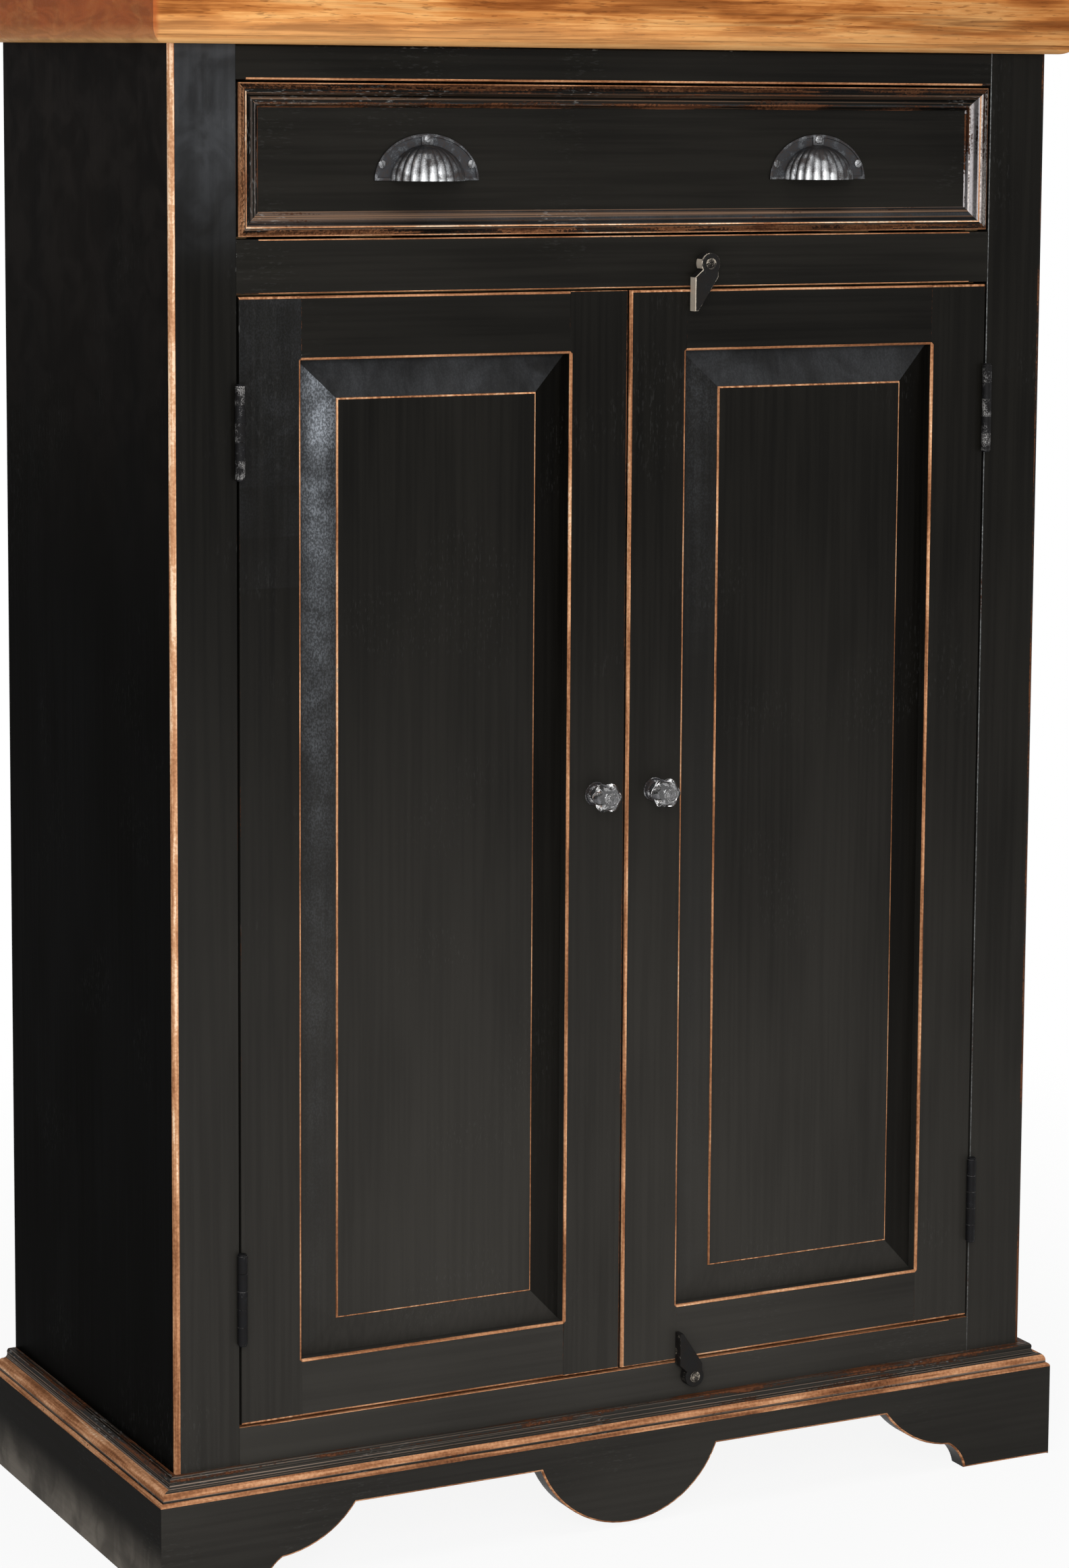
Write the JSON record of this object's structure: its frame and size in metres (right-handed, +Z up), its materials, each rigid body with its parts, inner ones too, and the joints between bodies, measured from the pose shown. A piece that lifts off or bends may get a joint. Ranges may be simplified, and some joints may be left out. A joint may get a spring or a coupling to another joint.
{
  "type": "highboard",
  "caption": "Tall painted cupboard with a wide drawer over a pair of raised-panel doors, a thick wooden top, cup pulls, glass knobs, turn buttons and a scalloped plinth.",
  "frame": {"origin": "on the floor, under the middle of the object's box", "axes": "+X to the right as one faces the doors, +Y to the back, +Z up"},
  "size_m": [0.83, 0.408, 1.266],
  "materials": {
    "black_paint": "black satin paint on wood, rubbed through at the edges",
    "top_wood": "golden brown waxed wood with lively grain",
    "raw_wood": "plain unpainted wood",
    "antique_metal": "dark antique metal with bright rubbed highlights",
    "black_iron": "iron painted black, worn bright at the edges",
    "knob_glass": "clear pressed glass",
    "bright_steel": "plain steel"
  },
  "bodies": {
    "carcass": {"top_board": "top_wood", "left_side_panel": "black_paint", "right_side_panel": "black_paint", "left_front_stile": "black_paint", "right_front_stile": "black_paint", "top_rail": "black_paint", "middle_rail": "black_paint", "bottom_rail": "black_paint", "front_plinth": "black_paint", "left_plinth": "black_paint", "right_plinth": "black_paint", "front_base_moulding": "black_paint", "left_base_moulding": "black_paint", "right_base_moulding": "black_paint", "back_panel": "raw_wood", "cupboard_floor": "raw_wood", "dust_panel": "raw_wood", "lower_shelf": "raw_wood", "upper_shelf": "raw_wood", "shelf_cleats": "raw_wood", "left_drawer_runner": "raw_wood", "right_drawer_runner": "raw_wood", "drawer_kickers": "raw_wood", "rear_top_batten": "raw_wood", "drawer_stops": "raw_wood", "door_stop_batten": "raw_wood", "left_hinge_frame_leaves": "black_iron", "right_hinge_frame_leaves": "black_iron", "hinge_pins": "black_iron", "turn_button_screws": "black_iron"},
    "left_door": {"left_door_hinge_stile": "black_paint", "left_door_meeting_stile": "black_paint", "left_door_top_rail": "black_paint", "left_door_bottom_rail": "black_paint", "left_door_panel": "black_paint", "left_hinge_door_leaves": "black_iron", "left_knob": "knob_glass", "left_knob_rosette": "antique_metal", "left_knob_bolt": "bright_steel"},
    "right_door": {"right_door_hinge_stile": "black_paint", "right_door_meeting_stile": "black_paint", "right_door_top_rail": "black_paint", "right_door_bottom_rail": "black_paint", "right_door_panel": "black_paint", "right_hinge_door_leaves": "black_iron", "right_knob": "knob_glass", "right_knob_rosette": "antique_metal", "right_knob_bolt": "bright_steel"},
    "drawer": {"drawer_front": "black_paint", "drawer_front_mouldings": "black_paint", "drawer_left_side": "raw_wood", "drawer_right_side": "raw_wood", "drawer_back": "raw_wood", "drawer_bottom": "raw_wood", "left_cup_pull": "antique_metal", "right_cup_pull": "antique_metal", "cup_pull_screws": "antique_metal"},
    "upper_button": {"upper_turn_button": "black_iron"},
    "lower_button": {"lower_turn_button": "black_iron"}
  },
  "joints": [
    {"name": "left_door_hinge", "type": "hinge", "parent": "carcass", "child": "left_door", "pos_m": [-0.3395, -0.1763, 0], "axis": [0, 0, -1], "range_deg": [0, 165]},
    {"name": "right_door_hinge", "type": "hinge", "parent": "carcass", "child": "right_door", "pos_m": [0.3395, -0.1763, 0], "axis": [0, 0, 1], "range_deg": [0, 165]},
    {"name": "drawer_slide", "type": "slide", "parent": "carcass", "child": "drawer", "axis": [0, -1, 0], "range_m": [0, 0.25]},
    {"name": "upper_button_turn", "type": "hinge", "parent": "carcass", "child": "upper_button", "pos_m": [0.069, -0.172, 1.048], "axis": [0, -1, 0], "range_deg": [-100, 100]},
    {"name": "lower_button_turn", "type": "hinge", "parent": "carcass", "child": "lower_button", "pos_m": [0.0655, -0.172, 0.116], "axis": [0, -1, 0], "range_deg": [-100, 85]}
  ]
}
